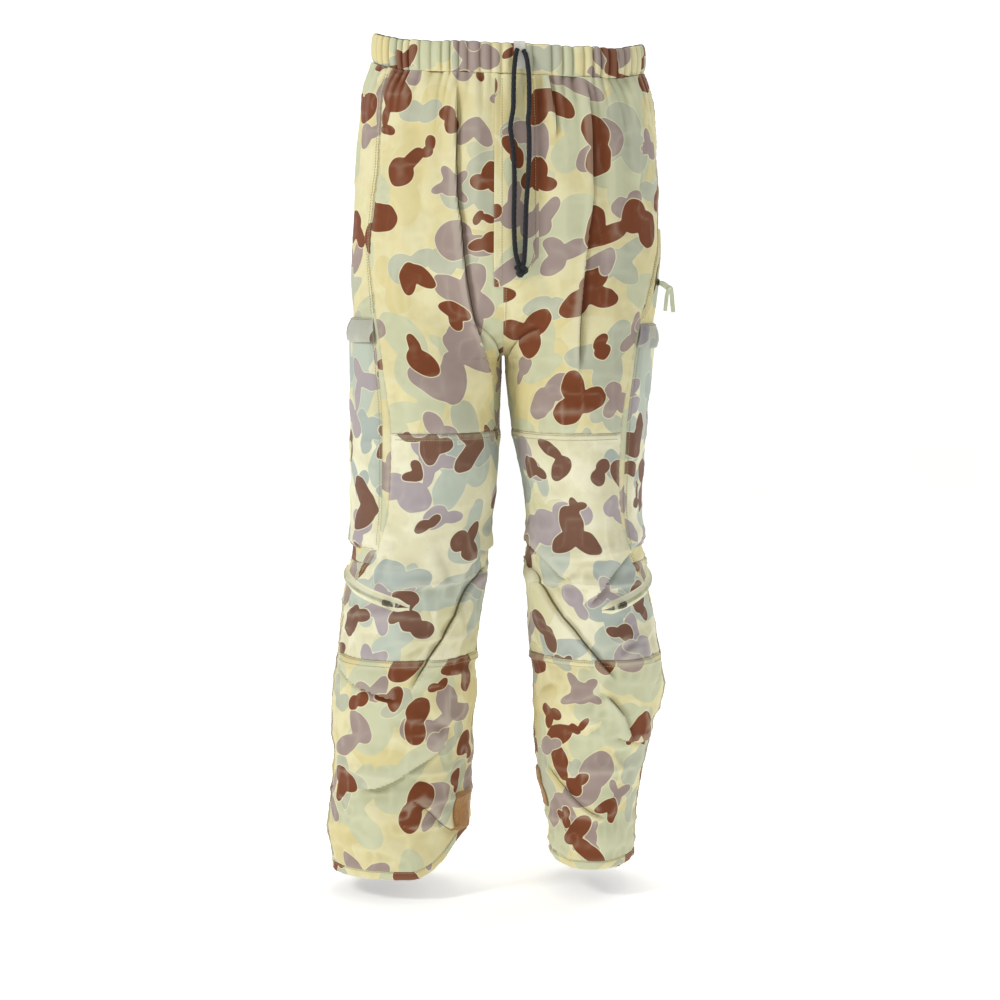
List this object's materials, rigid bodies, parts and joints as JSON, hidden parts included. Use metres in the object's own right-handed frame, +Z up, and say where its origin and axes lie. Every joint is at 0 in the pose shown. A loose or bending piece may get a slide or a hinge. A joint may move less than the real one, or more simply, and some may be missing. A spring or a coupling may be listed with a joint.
{
  "type": "camouflage over-trousers",
  "caption": "Loose camouflage over-trousers with elasticated drawcord waist, fly placket, cargo pockets with flaps, knee panels, knee zips and ankle patches.",
  "frame": {"origin": "centre of the waist opening, level with the top of the waistband", "axes": "+Z up the body from hems to waist, -Y out of the front, +X to the wearer's left"},
  "size_m": [0.4292, 0.2843, 1.0403],
  "materials": {
    "camouflage_cloth": "matt woven cloth printed in cream, mint, mauve and rust brown",
    "pale_camouflage_cloth": "matt woven cloth in a paler run of the same print",
    "flap_cloth": "matt grey part of the pale print",
    "elastic": "ribbed woven elastic",
    "keeper_tape": "white woven tape",
    "drawcord": "black braided cord",
    "hook_tape": "tan hook and loop tape",
    "loop_tape": "tan napped loop tape",
    "zip_tape": "cream zip tape with moulded teeth",
    "zip_slider": "dark oxidised metal",
    "side_zip_tape": "dark brown tape",
    "tie_tape": "pale mint woven tape"
  },
  "bodies": {
    "trousers": {"waistband_front": "camouflage_cloth", "waistband_back": "camouflage_cloth", "waist_elastic": "elastic", "drawcord_keeper": "keeper_tape", "drawcord_hidden_run": "drawcord", "drawcord_strand_right": "drawcord", "drawcord_strand_left": "drawcord", "drawcord_knot": "drawcord", "fly_placket": "camouflage_cloth", "fly_facing": "camouflage_cloth", "front_upper_right": "camouflage_cloth", "knee_panel_right": "pale_camouflage_cloth", "shin_panel_right": "camouflage_cloth", "back_upper_right": "camouflage_cloth", "back_lower_right": "camouflage_cloth", "hem_right": "camouflage_cloth", "cargo_pocket_right": "pale_camouflage_cloth", "pocket_loop_tape_right": "hook_tape", "knee_zip_right": "zip_tape", "ankle_loop_patch_right": "loop_tape", "front_upper_left": "camouflage_cloth", "knee_panel_left": "pale_camouflage_cloth", "shin_panel_left": "camouflage_cloth", "back_upper_left": "camouflage_cloth", "back_lower_left": "camouflage_cloth", "hem_left": "camouflage_cloth", "cargo_pocket_left": "pale_camouflage_cloth", "pocket_loop_tape_left": "hook_tape", "knee_zip_left": "zip_tape", "ankle_loop_patch_left": "loop_tape", "side_zip_left": "side_zip_tape"},
    "flap_right": {"pocket_flap_right": "flap_cloth", "flap_hook_tape_right": "hook_tape"},
    "flap_left": {"pocket_flap_left": "flap_cloth", "flap_hook_tape_left": "hook_tape"},
    "knee_slider_right": {"knee_zip_slider_right": "zip_slider"},
    "knee_slider_left": {"knee_zip_slider_left": "zip_slider"},
    "side_slider": {"side_zip_slider_left": "zip_slider"},
    "tie_tape": {"tie_tape_left": "tie_tape"}
  },
  "joints": [
    {"name": "right_flap_lift", "type": "hinge", "parent": "trousers", "child": "flap_right", "pos_m": [-0.18549, -0.02782, -0.34156], "axis": [-0.1869, 0.9824, 0], "range_deg": [0, 40]},
    {"name": "left_flap_lift", "type": "hinge", "parent": "trousers", "child": "flap_left", "pos_m": [0.18811, -0.00929, -0.34887], "axis": [-0.0623, -0.9981, 0], "range_deg": [0, 40]},
    {"name": "right_knee_zip_run", "type": "hinge", "parent": "trousers", "child": "knee_slider_right", "pos_m": [-0.09783, -0.01193, -0.67277], "axis": [-0.1486, 0.1971, -0.9691], "range_deg": [0, 71]},
    {"name": "left_knee_zip_run", "type": "hinge", "parent": "trousers", "child": "knee_slider_left", "pos_m": [0.0732, -0.00583, -0.67963], "axis": [-0.1489, -0.2163, 0.9649], "range_deg": [0, 61]},
    {"name": "side_zip_run", "type": "slide", "parent": "trousers", "child": "side_slider", "axis": [0.1064, 0.3833, 0.9175], "range_m": [-0.02, 0.014]},
    {"name": "tie_tape_swing", "type": "hinge", "parent": "side_slider", "child": "tie_tape", "pos_m": [0.19072, -0.04831, -0.29803], "axis": [0, -1, 0], "range_deg": [-5, 35]}
  ]
}
